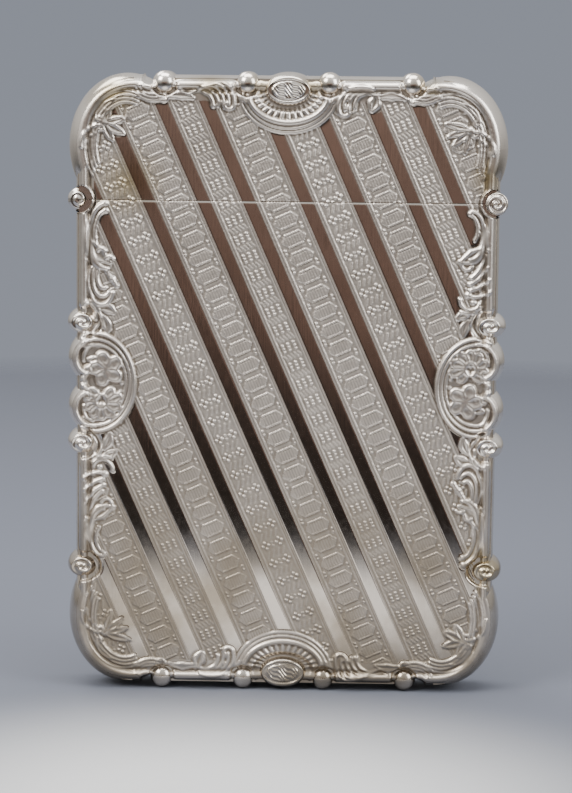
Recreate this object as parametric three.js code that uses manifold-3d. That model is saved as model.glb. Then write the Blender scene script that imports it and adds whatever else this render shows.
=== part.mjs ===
// A silver visiting-card case: two die-stamped half shells for the body, two for the lid, an inner
// sleeve that holds the cards and guides the lid, and a five-knuckle side hinge. Millimetres, +Z up,
// front face towards -Y, origin at the bottom centre.
import * as THREE from 'three';
import { mergeVertices } from 'three/addons/utils/BufferGeometryUtils.js';
import Module from 'manifold-3d';

const wasm = await Module();
wasm.setup();

// Whole case
const HEIGHT = 95.2;
const HALF_WIDTH = 32.4;
const HALF_THICK = 4.8;
const MID_Z = HEIGHT / 2;
const PARTING_Z = 75.6;
const PARTING_GAP = 0.1;
const SHEET = 0.5;

// Half-round edge of the stamped shells
const EDGE_ROUND = 1.6;
const EDGE_STEPS = 3;
const SEAM_FLAT = 0.1;
const EDGE_LEVEL = 0.6;
const CORE_CORNER = 9;
const PANEL_DEPTH = 0.5;
const PANEL_MARGIN = 3.6;
const PANEL_CORNER = 10;

// Ornament that changes the outline
const LOBE = { x: 24.5, fromMid: 36.3, rx: 9, rz: 10.9, round: 2.2 };
const NOTCH = { x: 20.8, fromMid: 47.3, radius: 1.2 };
const BEAD = { xs: [6.2, 18.8], radius: 1.6 };
const OVAL = { rx: 4.2, rz: 2.8, round: 1.4 };
const FAN = { rx: 7.3, rz: 7.6 };
const MEDALLION = { x: 29.4, fromMid: 3.8, radius: 4.2, round: 1.4 };
const MEDALLION_PLATE = { rx: 9.6, rz: 8.2 };
const KNOB = { x: 31.1, fromMid: [-28.5, -9.3, 9.3], rx: 2.6, rz: 2.1, round: 1.3 };

// Inner sleeve, its floor and the two mouth rims
const SLEEVE = { halfX: 29.6, halfY: 3.2, wall: 0.4, corner: 0.9, bottom: 5.7, collar: 3 };
const FLOOR_SHEET = 0.5;
const RIM_SHEET = 0.5;
const RIM_SIDE_GAP = 0.3;
const RIM_FIT = 0.1;
const LID_FIT = 0.15;

// Side hinge and the thumb scroll opposite it
const HINGE = { x: 31.7, radius: 1.7, halfLength: 4.6, gap: 0.15, clear: 0.3 };
const KNUCKLE_LENGTHS = [1.8, 1.6, 1.8, 1.6, 1.8];
const LEAF = { inner: 30.65, outer: 31.05, halfY: 3.3, reach: 4 };
const PIN = { radius: 0.6, fit: 0.06, inset: 0.25 };
const THUMB = { x: -31.8, radius: 1.7, halfLength: 4.6, clear: 0.3 };

// Facets
const ARC_STEPS = 6;
const LOBE_STEPS = 14;
const ROUND_STEPS = 16;
const FAR = 200;

const stampedSilver = new THREE.MeshStandardMaterial({ color: 0xdad4c9, metalness: 1, roughness: 0.24 });
const plainSilver = new THREE.MeshStandardMaterial({ color: 0xd5cdbf, metalness: 1, roughness: 0.3 });
const hingeSilver = new THREE.MeshStandardMaterial({ color: 0xcdc6ba, metalness: 1, roughness: 0.28 });
const pinSteel = new THREE.MeshStandardMaterial({ color: 0x9a9896, metalness: 1, roughness: 0.35 });

// ---- solids -------------------------------------------------------------------------------------

function toSolid(geometry) {
  const bare = geometry.index ? geometry.toNonIndexed() : geometry.clone();
  bare.deleteAttribute('normal');
  bare.deleteAttribute('uv');
  const merged = mergeVertices(bare, 1e-5);
  return new wasm.Manifold(new wasm.Mesh({
    numProp: 3,
    vertProperties: new Float32Array(merged.attributes.position.array),
    triVerts: new Uint32Array(merged.index.array),
  }));
}

function toGeometry(solid) {
  const mesh = solid.getMesh();
  const geometry = new THREE.BufferGeometry();
  geometry.setAttribute('position', new THREE.BufferAttribute(new Float32Array(mesh.vertProperties), 3));
  geometry.setIndex(new THREE.BufferAttribute(new Uint32Array(mesh.triVerts), 1));
  geometry.computeVertexNormals();
  return geometry;
}

const addAll = (solids) => solids.reduce((sum, solid) => sum.add(solid));
const subtractAll = (solid, cutters) => cutters.reduce((rest, cutter) => rest.subtract(cutter), solid);

function box([x0, y0, z0], [x1, y1, z1]) {
  const geometry = new THREE.BoxGeometry(x1 - x0, y1 - y0, z1 - z0);
  return toSolid(geometry.translate((x0 + x1) / 2, (y0 + y1) / 2, (z0 + z1) / 2));
}

// A round bar along Y
function bar(x, z, radius, y0, y1, steps = ROUND_STEPS) {
  const geometry = new THREE.CylinderGeometry(radius, radius, y1 - y0, steps);
  return toSolid(geometry.translate(x, (y0 + y1) / 2, z));
}

// A bar along Y with round ends, as a bead stamped in both half shells
function bead(x, z, radius, halfLength) {
  const geometry = new THREE.CapsuleGeometry(radius, 2 * (halfLength - radius), 3, ROUND_STEPS);
  return toSolid(geometry.translate(x, 0, z));
}

// An outline drawn in X and Z, given thickness along Y, square-edged or rounded over to its faces
function slab(outline, halfThick, round = 0, curveSegments = ARC_STEPS) {
  const flat = round ? SEAM_FLAT : 2 * halfThick;
  const geometry = new THREE.ExtrudeGeometry(outline, {
    depth: flat,
    curveSegments,
    bevelEnabled: round > 0,
    bevelThickness: halfThick - flat / 2,
    bevelSize: round,
    bevelOffset: -round,
    bevelSegments: EDGE_STEPS,
  });
  return toSolid(geometry.translate(0, 0, -flat / 2).rotateX(Math.PI / 2));
}

// ---- outlines -----------------------------------------------------------------------------------

function roundedRect(x0, z0, x1, z1, corner) {
  const outline = new THREE.Shape();
  const quarter = Math.PI / 2;
  outline.absarc(x1 - corner, z0 + corner, corner, -quarter, 0);
  outline.absarc(x1 - corner, z1 - corner, corner, 0, quarter);
  outline.absarc(x0 + corner, z1 - corner, corner, quarter, 2 * quarter);
  outline.absarc(x0 + corner, z0 + corner, corner, 2 * quarter, 3 * quarter);
  return outline;
}

function ellipse(x, z, rx, rz) {
  return new THREE.Shape().absellipse(x, z, rx, rz, 0, 2 * Math.PI);
}

// Every place that repeats on the left and right, or at the top and bottom as well
const bothSides = (make) => [-1, 1].map(make);
const fourCorners = (make) => [-1, 1].flatMap((side) => [-1, 1].map((end) => make(side, end)));

// ---- the stamped case as one envelope, cut into its four plates below -------------------------------

// The plain case, notched between each outer bead and its corner, with the four corner lobes; all of it
// shrunk all round by an inset
function plainCase(inset, halfThick) {
  const core = roundedRect(
    inset - HALF_WIDTH, EDGE_LEVEL + inset, HALF_WIDTH - inset, HEIGHT - EDGE_LEVEL - inset,
    CORE_CORNER - inset,
  );
  const lobes = fourCorners((side, end) => slab(
    ellipse(side * LOBE.x, MID_Z + end * LOBE.fromMid, LOBE.rx - inset, LOBE.rz - inset),
    halfThick, LOBE.round, LOBE_STEPS,
  ));
  const notches = fourCorners((side, end) => bar(
    side * NOTCH.x, MID_Z + end * NOTCH.fromMid, NOTCH.radius + inset, -FAR, FAR,
  ));
  return addAll([subtractAll(slab(core, halfThick, EDGE_ROUND), notches), ...lobes]);
}

// Beads and ovals at both ends, double-scroll medallions and knobs at both sides
function ornament() {
  const beads = BEAD.xs.flatMap((x) => fourCorners((side, end) => (
    bead(side * x, MID_Z + end * (MID_Z - BEAD.radius), BEAD.radius, HALF_THICK)
  )));
  const ovals = bothSides((end) => slab(
    ellipse(0, MID_Z + end * (MID_Z - OVAL.rz), OVAL.rx, OVAL.rz), HALF_THICK, OVAL.round,
  ));
  const medallions = fourCorners((side, end) => slab(
    ellipse(side * MEDALLION.x, MID_Z + end * MEDALLION.fromMid, MEDALLION.radius, MEDALLION.radius),
    HALF_THICK, MEDALLION.round,
  ));
  const knobs = KNOB.fromMid.flatMap((level) => bothSides((side) => slab(
    ellipse(side * KNOB.x, MID_Z + level, KNOB.rx, KNOB.rz), HALF_THICK, KNOB.round,
  )));
  return [...beads, ...ovals, ...medallions, ...knobs];
}

// The sunk panel inside the raised border: the border widens into medallions and fans
function panelPockets() {
  const panel = roundedRect(
    PANEL_MARGIN - HALF_WIDTH, EDGE_LEVEL + PANEL_MARGIN,
    HALF_WIDTH - PANEL_MARGIN, HEIGHT - EDGE_LEVEL - PANEL_MARGIN, PANEL_CORNER,
  );
  const raised = [
    ...bothSides((side) => ellipse(side * HALF_WIDTH, MID_Z, MEDALLION_PLATE.rx, MEDALLION_PLATE.rz)),
    ...bothSides((end) => ellipse(0, MID_Z + end * MID_Z, FAN.rx, FAN.rz)),
  ].map((outline) => slab(outline, FAR, 0, ROUND_STEPS));
  const through = subtractAll(slab(panel, HALF_THICK + 1), raised);
  const core = box([-FAR, PANEL_DEPTH - HALF_THICK, -FAR], [FAR, HALF_THICK - PANEL_DEPTH, FAR]);
  return through.subtract(core);
}

const barrelClearance = bar(HINGE.x, PARTING_Z, HINGE.radius + HINGE.clear, -FAR, FAR);
const thumbClearance = bar(THUMB.x, PARTING_Z, THUMB.radius + THUMB.clear, -FAR, FAR);

const aboveParting = box([-FAR, -FAR, PARTING_Z + PARTING_GAP / 2], [FAR, FAR, FAR]);
const belowParting = box([-FAR, -FAR, -FAR], [FAR, FAR, PARTING_Z - PARTING_GAP / 2]);
const frontHalf = box([-FAR, -FAR, -FAR], [FAR, 0, FAR]);
const backHalf = box([-FAR, 0, -FAR], [FAR, FAR, FAR]);

const innerHalfThick = HALF_THICK - PANEL_DEPTH - SHEET;
const stampedCase = subtractAll(
  addAll([plainCase(0, HALF_THICK), ...ornament()]),
  [plainCase(SHEET, innerHalfThick), panelPockets(), barrelClearance, thumbClearance],
);

// ---- sleeve, floor and rims ---------------------------------------------------------------------

// A plate or tube standing on the XY plane: outline in X and Y, from z0 to z1
function upright(halfX, halfY, corner, z0, z1) {
  const outline = roundedRect(-halfX, -halfY, halfX, halfY, corner);
  const geometry = new THREE.ExtrudeGeometry(outline, {
    depth: z1 - z0, curveSegments: ARC_STEPS / 2, bevelEnabled: false,
  });
  return toSolid(geometry.translate(0, 0, z0));
}

function sleeve() {
  const top = PARTING_Z + SLEEVE.collar;
  const outside = upright(SLEEVE.halfX, SLEEVE.halfY, SLEEVE.corner, SLEEVE.bottom, top);
  const cards = upright(
    SLEEVE.halfX - SLEEVE.wall, SLEEVE.halfY - SLEEVE.wall, SLEEVE.corner - SLEEVE.wall, -FAR, FAR,
  );
  return outside.subtract(cards);
}

function sleeveFloor() {
  return upright(
    SLEEVE.halfX, SLEEVE.halfY, SLEEVE.corner, SLEEVE.bottom - FLOOR_SHEET, SLEEVE.bottom,
  );
}

// A flat frame that closes the space between shell and sleeve at the parting plane
function mouthRim(z0, z1, fit) {
  const inside = plainCase(SHEET + RIM_SIDE_GAP, innerHalfThick);
  const sheet = box([-FAR, -FAR, z0], [FAR, FAR, z1]);
  const opening = upright(SLEEVE.halfX + fit, SLEEVE.halfY + fit, SLEEVE.corner + fit, -FAR, FAR);
  return subtractAll(inside.intersect(sheet), [opening, barrelClearance, thumbClearance]);
}

// ---- hinge and thumb scroll -------------------------------------------------------------------------

// One knuckle with its leaf; direction is 1 where the leaf runs up into the lid, -1 down into the body
function knuckle(y0, y1, direction) {
  const barrel = bar(HINGE.x, PARTING_Z, HINGE.radius, y0, y1, 2 * ROUND_STEPS);
  const leafY = [Math.max(y0, -LEAF.halfY), Math.min(y1, LEAF.halfY)];
  const leafEnd = PARTING_Z + direction * LEAF.reach;
  const leaf = box(
    [LEAF.inner, leafY[0], Math.min(PARTING_Z, leafEnd)],
    [LEAF.outer, leafY[1], Math.max(PARTING_Z, leafEnd)],
  );
  const bore = bar(HINGE.x, PARTING_Z, PIN.radius + PIN.fit, -FAR, FAR, 2 * ROUND_STEPS);
  return barrel.add(leaf).subtract(bore);
}

function knuckleSpans() {
  let y = -HINGE.halfLength;
  return KNUCKLE_LENGTHS.map((length) => {
    const span = [y, y + length];
    y += length + HINGE.gap;
    return span;
  });
}

function thumbScroll(keep) {
  const scroll = bead(THUMB.x, PARTING_Z, THUMB.radius, THUMB.halfLength);
  return scroll.intersect(keep);
}

// ---- the assembly -------------------------------------------------------------------------------

const cardCase = new THREE.Group();

function addPart(name, solid, material) {
  const mesh = new THREE.Mesh(toGeometry(solid), material);
  mesh.name = name;
  cardCase.add(mesh);
}

for (const [body, side] of [['body', belowParting], ['lid', aboveParting]]) {
  addPart(`${body}_front_plate`, stampedCase.intersect(side).intersect(frontHalf), stampedSilver);
  addPart(`${body}_back_plate`, stampedCase.intersect(side).intersect(backHalf), stampedSilver);
}

const bodyRimTop = PARTING_Z - PARTING_GAP / 2;
const lidRimBottom = PARTING_Z + PARTING_GAP / 2;
addPart('body_sleeve', sleeve(), plainSilver);
addPart('body_sleeve_floor', sleeveFloor(), plainSilver);
addPart('body_mouth_rim', mouthRim(bodyRimTop - RIM_SHEET, bodyRimTop, RIM_FIT), plainSilver);
addPart('lid_mouth_rim', mouthRim(lidRimBottom, lidRimBottom + RIM_SHEET, LID_FIT), plainSilver);

const knuckleNames = [
  'lid_hinge_knuckle_front', 'body_hinge_knuckle_front', 'lid_hinge_knuckle_middle',
  'body_hinge_knuckle_back', 'lid_hinge_knuckle_back',
];
knuckleSpans().forEach(([y0, y1], i) => {
  const name = knuckleNames[i];
  addPart(name, knuckle(y0, y1, name.startsWith('lid') ? 1 : -1), hingeSilver);
});
const pinEnd = HINGE.halfLength - PIN.inset;
addPart('hinge_pin', bar(HINGE.x, PARTING_Z, PIN.radius, -pinEnd, pinEnd), pinSteel);

addPart('lid_thumb_scroll', thumbScroll(aboveParting), stampedSilver);
addPart('body_thumb_scroll', thumbScroll(belowParting), stampedSilver);

export default cardCase;
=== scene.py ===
# A die-stamped silver visiting-card case: relief skins, half-round edges, beads, inner walls and finishes.
# Ornament is drawn in millimetres on the case's own face: x to the right, u up from the middle of the
# case, h outwards from the plane between its two faces. The back is the same die, turned half round.
import math

import bpy
import numpy as np
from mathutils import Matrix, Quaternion, Vector


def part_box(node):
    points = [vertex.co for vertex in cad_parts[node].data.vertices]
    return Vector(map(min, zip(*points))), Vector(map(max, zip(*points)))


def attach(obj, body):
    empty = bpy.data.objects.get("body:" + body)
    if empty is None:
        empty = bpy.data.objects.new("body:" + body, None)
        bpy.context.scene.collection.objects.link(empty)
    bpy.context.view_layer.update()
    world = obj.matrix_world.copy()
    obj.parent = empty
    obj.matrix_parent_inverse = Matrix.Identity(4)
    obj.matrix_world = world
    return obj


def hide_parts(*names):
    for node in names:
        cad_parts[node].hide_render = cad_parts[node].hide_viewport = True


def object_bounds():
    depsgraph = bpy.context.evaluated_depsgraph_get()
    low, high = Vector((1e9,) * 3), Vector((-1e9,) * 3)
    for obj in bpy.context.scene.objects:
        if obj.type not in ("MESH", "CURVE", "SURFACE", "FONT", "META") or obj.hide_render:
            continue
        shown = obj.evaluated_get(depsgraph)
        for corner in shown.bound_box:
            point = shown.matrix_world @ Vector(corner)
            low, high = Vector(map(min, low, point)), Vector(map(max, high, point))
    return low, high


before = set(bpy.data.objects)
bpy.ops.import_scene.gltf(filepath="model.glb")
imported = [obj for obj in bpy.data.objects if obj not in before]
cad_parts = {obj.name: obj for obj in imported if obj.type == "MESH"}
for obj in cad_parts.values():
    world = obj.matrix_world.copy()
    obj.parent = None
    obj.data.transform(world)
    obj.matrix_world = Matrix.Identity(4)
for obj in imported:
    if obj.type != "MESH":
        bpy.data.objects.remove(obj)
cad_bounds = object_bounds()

MM = 0.001
CAD_LOW, CAD_HIGH = (np.array(corner, float) / MM for corner in cad_bounds)
MID = (CAD_LOW[2] + CAD_HIGH[2]) / 2
HALF_HEIGHT = (CAD_HIGH[2] - CAD_LOW[2]) / 2
CREST = CAD_HIGH[1]
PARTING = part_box("lid_mouth_rim")[0][2] / MM - MID
PARTING_GAP = (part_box("lid_mouth_rim")[0][2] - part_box("body_mouth_rim")[1][2]) / MM
THUMB_LOW, THUMB_HIGH = (np.array(corner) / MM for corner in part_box("lid_thumb_scroll"))
BARREL_LOW, BARREL_HIGH = (np.array(corner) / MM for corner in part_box("lid_hinge_knuckle_front"))

# Outline of the case: a plain rounded panel, corner lobes and side medallions, each with its rounding
HALF_WIDTH = 32.4
HALF_PLAIN = HALF_HEIGHT - 0.6
CORE_CORNER = 9.0
EDGE_ROUND = 1.6
LOBE = (24.5, 36.3, 9.0, 10.9, 2.2)
MEDALLION = (29.4, 3.8, 4.2, 4.2, 1.4)
BEAD_XS = (6.2, 18.8)
BEAD_RADIUS = 1.8
OVAL = (4.2, 2.8)
KNOB = (31.1, 2.6, 2.1, 1.3)
KNOB_US = (-28.5, -9.3, 9.3)
CORNER_NOTCH = (20.8, 47.3, 1.2)
NOTCH_ROUND = 1.0
AXIS_NOTCHES = ((-31.8, PARTING, 1.82), (31.7, PARTING, 1.82))
AXIS_ROUND = 0.5
SHEET = 0.5
WALL_H = 3.8
LIP_POINTS = 300

CAP_RISE = 0.45
NECK_DIP = 0.55
COLLAR_H = 4.1
LIP_HALF = 29.6
PARTING_BEVEL = 0.08
BOSSES = ((29.2, 0, 6.1, 7.5), (0, 44.6, 7.5, 6.2))

# Levels of the stamped sheet
GROOVE_H = 4.14
BANK_H = 4.36
PANEL_H = 4.28
STRIP_END = 0.68
OVERLAP = 0.08
TUCK = 0.03

# Diagonal bands: mirror strips with a textured band between each two, repeating across the panel
TILT = math.radians(23.9)
FIRST_MIRROR = -0.3
BANDS = (("flame", 6.3), ("hexagon", 8.0), ("rosette", 7.25), ("hexagon", 7.65))
PERIOD = sum(width for _, width in BANDS)
MIRROR_HALF = 1.0
PITCH = 3.0
CELL = 0.14
SIDES = ("front", "back")

# Ornament strokes are drawn this much bolder than their stated widths
BOLD = 1.3

# The bands' patterns stand this much prouder than their stated heights
TEXTURE_RISE = 1.35


def smooth(low, high, value):
    t = np.clip((value - low) / (high - low), 0, 1)
    return t * t * (3 - 2 * t)


def rounded(ratio):
    return np.sqrt(np.clip(1 - ratio * ratio, 0, 1))


# ---- outline and edge ---------------------------------------------------------------------------

def core_depth(x, u):
    dx = np.abs(x) - (HALF_WIDTH - CORE_CORNER)
    du = np.abs(u) - (HALF_PLAIN - CORE_CORNER)
    outside = np.hypot(np.maximum(dx, 0), np.maximum(du, 0))
    return CORE_CORNER - outside - np.minimum(np.maximum(dx, du), 0)


def ellipse_depth(x, u, rx, ru):
    near = np.hypot(x / rx, u / ru)
    slope = np.maximum(np.hypot(x / rx**2, u / ru**2), 1e-6)
    return np.minimum(near * (1 - near) / slope, min(rx, ru)) + 2 * min(rx, ru) * np.clip(0.5 - near, 0, 1)


def fourfold_depth(x, u, part):
    cx, cu, rx, ru, _ = part
    return ellipse_depth(np.abs(x) - cx, np.abs(u) - cu, rx, ru)


def plain_depth(x, u):
    """The plain case between its beads, notched beside each corner lobe."""
    cx, cu, radius = CORNER_NOTCH
    notch = np.hypot(np.abs(x) - cx, np.abs(u) - cu) - radius
    return np.minimum(core_depth(x, u) / EDGE_ROUND, notch / NOTCH_ROUND)


OUTLINES = {
    "core": plain_depth,
    "lobe": lambda x, u: fourfold_depth(x, u, LOBE) / LOBE[4],
    "medallion": lambda x, u: fourfold_depth(x, u, MEDALLION) / MEDALLION[4],
}


def edge_depth(x, u):
    """How far inside the outline a point is, in widths of the rounding there."""
    depth = np.maximum.reduce([part(x, u) for part in OUTLINES.values()])
    for cx, cu, radius in AXIS_NOTCHES:
        depth = np.minimum(depth, (np.hypot(x - cx, u - cu) - radius) / AXIS_ROUND)
    return depth


def neck(x, u):
    """How far the edge dips round each bead, oval and knob, so that they stand clear of it."""
    bead_u, oval_u = HALF_HEIGHT - BEAD_RADIUS, HALF_HEIGHT - OVAL[1]
    near = [np.hypot(np.abs(x) - cx, np.abs(u) - bead_u) / BEAD_RADIUS for cx in BEAD_XS]
    near.append(np.hypot(x / OVAL[0], (np.abs(u) - oval_u) / OVAL[1]))
    near += [np.hypot((np.abs(x) - KNOB[0]) / KNOB[1], (u - cu) / KNOB[2]) for cu in KNOB_US]
    return NECK_DIP * (1 - smooth(1.0, 1.22, np.minimum.reduce(near)))


def edge_height(depth, filled):
    """The edge's section: over the crest, down into a groove (none where it is filled), up the bank."""
    groove_h = GROOVE_H + (BANK_H - GROOVE_H) * filled
    rise = CREST * rounded(1 - np.clip(depth, 0, 1))
    fall = (CREST - groove_h) * smooth(1.0, 1.5, depth)
    bank = (BANK_H - groove_h) * smooth(1.5, 1.85, depth)
    return rise - fall + bank


# ---- strokes of the ornament --------------------------------------------------------------------

def arc(cx, cu, rx, ru, start, end, shrink=1.0, curl=0.0):
    """An elliptical arc, in degrees; curl winds its far end into a small round scroll of that radius."""
    count = max(8, int(abs(math.radians(end - start)) * max(rx, ru) / 0.12))
    angle = np.radians(np.linspace(start, end, count))
    scale = np.linspace(1, shrink, count)
    points = np.column_stack((cx + rx * scale * np.cos(angle), cu + ru * scale * np.sin(angle)))
    if not curl:
        return points
    along = points[-1] - points[-2]
    turn = math.copysign(1, end - start)
    heading = math.atan2(along[1], along[0]) - turn * math.pi / 2
    centre = points[-1] - curl * np.array([math.cos(heading), math.sin(heading)])
    sweep = heading + turn * np.linspace(0, 1.5 * math.pi, 40)[1:]
    radius = curl * np.linspace(1, 0.35, 39)
    winding = centre + radius[:, None] * np.column_stack((np.cos(sweep), np.sin(sweep)))
    return np.vstack((points, winding))


def blade(x, u, heading, length, bend=0.0):
    """A line that leaves its root at a heading and bends evenly along its length."""
    count = max(6, int(length / 0.12))
    angles = np.radians(heading + bend * np.linspace(0, 1, count))
    steps = np.column_stack((np.cos(angles), np.sin(angles))) * length / count
    return np.vstack(([x, u], [x, u] + np.cumsum(steps, axis=0)))


class Relief:
    """The face as heights over a grid whose columns run along the diagonal bands."""

    def __init__(self, columns, rows):
        self.columns = columns
        self.rows = rows
        self.x = columns[None, :] / math.cos(TILT) - rows[:, None] * math.tan(TILT)
        self.u = np.repeat(rows[:, None], len(columns), axis=1)
        self.raised = np.zeros(self.x.shape)
        self.moat = np.zeros(self.x.shape)

    def window(self, points, reach):
        (x0, u0), (x1, u1) = points.min(axis=0) - reach, points.max(axis=0) + reach
        i0, i1 = np.searchsorted(self.rows, (u0, u1))
        across = [(x * math.cos(TILT) + u * math.sin(TILT)) for x, u in ((x0, u0), (x1, u1))]
        j0, j1 = np.searchsorted(self.columns, across)
        return slice(i0, i1), slice(j0, j1)

    def draw(self, points, widths, height, style="ridge"):
        """Raises a stroke, and the same stroke turned half round the middle of the face."""
        points = np.asarray(points, float)
        half = np.interp(np.linspace(0, 1, len(points)), np.linspace(0, 1, len(widths)), widths) * BOLD / 2
        for turned in (points, -points):
            block = self.window(turned, half.max() * 1.8)
            x, u = self.x[block], self.u[block]
            if not x.size:
                continue
            ratio = np.full(x.shape, np.inf)
            for (px, pu), reach in zip(turned, half):
                ratio = np.minimum(ratio, np.hypot(x - px, u - pu) / reach)
            self.raised[block] = np.maximum(self.raised[block], height * STYLES[style](ratio))
            self.moat[block] = np.maximum(self.moat[block], 1 - smooth(1.0, 1.7, ratio))

    def bead(self, x, u, radius):
        self.draw([(x, u), (x, u)], (2 * radius, 2 * radius), radius * 0.95)


def crowned(ratio):
    return 0.5 * rounded(ratio) + 0.5 * np.clip(1 - ratio * ratio, 0, 1)


def spoon(ratio):
    hollow = 0.2 + 0.8 * np.clip(ratio / 0.76, 0, 1) ** 2
    return np.where(ratio < 0.76, hollow, rounded((ratio - 0.76) / 0.24))


def petal(ratio):
    dish = 0.5 + 0.5 * np.clip(ratio / 0.82, 0, 1) ** 2
    return np.where(ratio < 0.82, dish, rounded((ratio - 0.82) / 0.18))


STYLES = {"ridge": crowned, "spoon": spoon, "petal": petal}


# ---- motifs: those of the upper half, which the die repeats turned half round -----------------------

def hook_group(relief):
    """Left, above the medallion: a hook with a spoon leaf, a nested scroll, a trail of beads, a collar."""
    relief.draw(arc(-27.5, 22.5, 2.75, 4.95, 95, 275), (0.5, 0.6, 1.0, 1.2, 0.4), 0.42)
    relief.draw(arc(-27.6, 22.9, 1.6, 3.4, 90, 220), (0.35, 0.3), 0.3)
    relief.draw(blade(-29.9, 21.8, -68, 4.6, 40), (0.4, 1.8, 0.4), 0.34, "spoon")
    for shift in (0.0, 1.2):
        relief.draw(arc(-28.2 + shift, 20.0 - shift, 0.65, 0.6, 160, 20), (0.3, 0.45, 0.3), 0.44)
    for i in range(3):
        relief.draw(arc(-28.2 + 0.15 * i, 15.5 + 0.4 * i, 1.95 - 0.5 * i, 3.5 - 0.85 * i, 140, 335 - 20 * i),
                    (0.3, 0.5, 0.65, 0.4), 0.48 - 0.04 * i)
    for i, radius in enumerate((0.28, 0.3, 0.4, 0.3, 0.28)):
        relief.bead(-27.4 + 0.38 * i, 17.0 - 0.52 * i, radius)
    for x, u, radius in ((-27.75, 27.5, 0.4), (-27.6, 26.4, 0.33), (-30.2, 20.0, 0.22), (-30.1, 18.8, 0.26)):
        relief.bead(x, u, radius)
    relief.draw(arc(-30.5, 10.2, 2.1, 2.5, 80, -85), (0.35, 0.4), 0.44)
    relief.draw(arc(-30.5, 10.4, 1.45, 1.9, 85, -20), (0.5, 0.55), 0.46)
    relief.bead(-29.7, 8.9, 0.42)
    relief.draw(blade(-28.2, 11.5, 10, 2.1, -60), (0.5, 1.3, 0.5), 0.32, "spoon")
    relief.draw(blade(-28.1, 10.2, -50, 2.6, -45), (0.5, 1.1, 0.4), 0.32, "spoon")


def leaf_group(relief):
    """Right, above the medallion: a crescent over a spoon leaf, four feathers, a scroll, a collar."""
    relief.draw(arc(27.8, 23.2, 2.3, 3.7, 85, -90), (0.3, 0.5, 1.0, 0.5), 0.42)
    relief.draw(arc(27.8, 24.1, 1.15, 2.1, 80, -55), (0.25, 0.3), 0.28)
    relief.draw(blade(29.9, 21.4, 232, 4.3, -42), (0.6, 1.7, 0.4), 0.38, "spoon")
    relief.draw(arc(27.4, 18.9, 0.85, 0.95, -20, -230), (0.3, 0.35), 0.36)
    for i in range(4):
        root = (30.1 + 0.28 * i, 20.3 - 1.85 * i)
        relief.draw(blade(*root, -98 - 14 * i, 4.2 - 0.45 * i, -42), (0.3, 0.45, 0.6), 0.38 + 0.03 * i)
    relief.draw(arc(28.0, 13.7, 1.6, 1.85, 185, 335), (0.35, 0.45), 0.44)
    relief.draw(blade(26.7, 11.6, -25, 1.9, 45), (0.4, 0.6, 0.4), 0.42)
    for x, u, radius in ((27.8, 26.5, 0.32), (30.4, 22.0, 0.2), (30.4, 21.0, 0.26), (27.9, 20.8, 0.28),
                         (28.3, 15.2, 0.35), (27.7, 14.1, 0.42), (28.5, 13.0, 0.36), (30.2, 9.3, 0.36)):
        relief.bead(x, u, radius)
    relief.draw(arc(30.5, 9.9, 2.2, 2.6, 110, 245), (0.3, 0.4), 0.4)
    relief.draw(arc(30.5, 9.8, 1.5, 1.8, 115, 255), (0.3, 0.4), 0.44)
    relief.draw(blade(27.8, 11.1, 178, 1.9, 40), (0.4, 1.0, 0.4), 0.3, "spoon")
    relief.draw(blade(27.7, 10.2, 235, 2.6, 35), (0.4, 1.0, 0.4), 0.3, "spoon")


def medallion(relief):
    """Left side: two joined scrolls round an open flower above and a bud below."""
    for i, (width, height) in enumerate(((0.5, 0.52), (0.42, 0.44), (0.32, 0.36))):
        relief.draw(arc(-29.2, 0.1, 6.05 - 0.62 * i, 7.5 - 0.85 * i, 112, -112), (width, width), height)
    for end in (1, -1):
        relief.draw(arc(-29.3, 3.8 * end, 2.7, 2.9, 85 * end, 235 * end, 0.9, 0.6), (0.4, 0.7, 0.5), 0.5)
        relief.draw(arc(-29.1, 3.8 * end, 1.9, 2.2, 100 * end, 190 * end), (0.3, 0.45, 0.3), 0.34)
    relief.draw(blade(-32.2, 0.4, 8, 2.9, 50), (0.4, 0.6, 0.4), 0.42)
    relief.draw(blade(-32.0, -0.1, -6, 2.6, -50), (0.4, 0.6, 0.4), 0.42)
    relief.draw(blade(-30.2, 3.6, -15, 1.5, 60), (0.4, 0.8, 0.3), 0.36, "spoon")
    flower = (-27.5, 2.2)
    for i in range(5):
        heading = 100 - 72 * i
        way = math.radians(heading)
        root = (flower[0] + 0.55 * math.cos(way), flower[1] + 0.55 * math.sin(way))
        relief.draw(blade(*root, heading, 1.25, 20), (0.7, 1.35, 1.75, 1.6), 0.44, "petal")
        for lean in (-22, 0, 22):
            relief.draw(blade(*root, heading + lean, 1.3), (0.2, 0.14), 0.38)
    relief.bead(*flower, 0.4)
    bud = (-28.2, -2.8)
    for i in range(9):
        heading = 130 + 34 * i
        way = math.radians(heading)
        root = (bud[0] + 0.95 * math.cos(way), bud[1] + 0.95 * math.sin(way))
        length = 1.1 + 0.08 * i * (i < 8)
        relief.draw(blade(*root, heading, length, 20), (0.7, 1.2, 1.15), 0.4, "petal")
        relief.draw(blade(*root, heading, 1.1), (0.2, 0.12), 0.34)
    relief.draw(arc(*bud, 0.95, 1.05, 0, 360), (0.42, 0.42), 0.46)
    relief.bead(bud[0], bud[1] - 0.5, 0.36)
    for turn in range(7):
        angle = math.radians(-48 + 16 * turn)
        relief.bead(-29.2 + 4.15 * math.cos(angle), 0.1 + 5.1 * math.sin(angle), 0.24)


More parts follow.
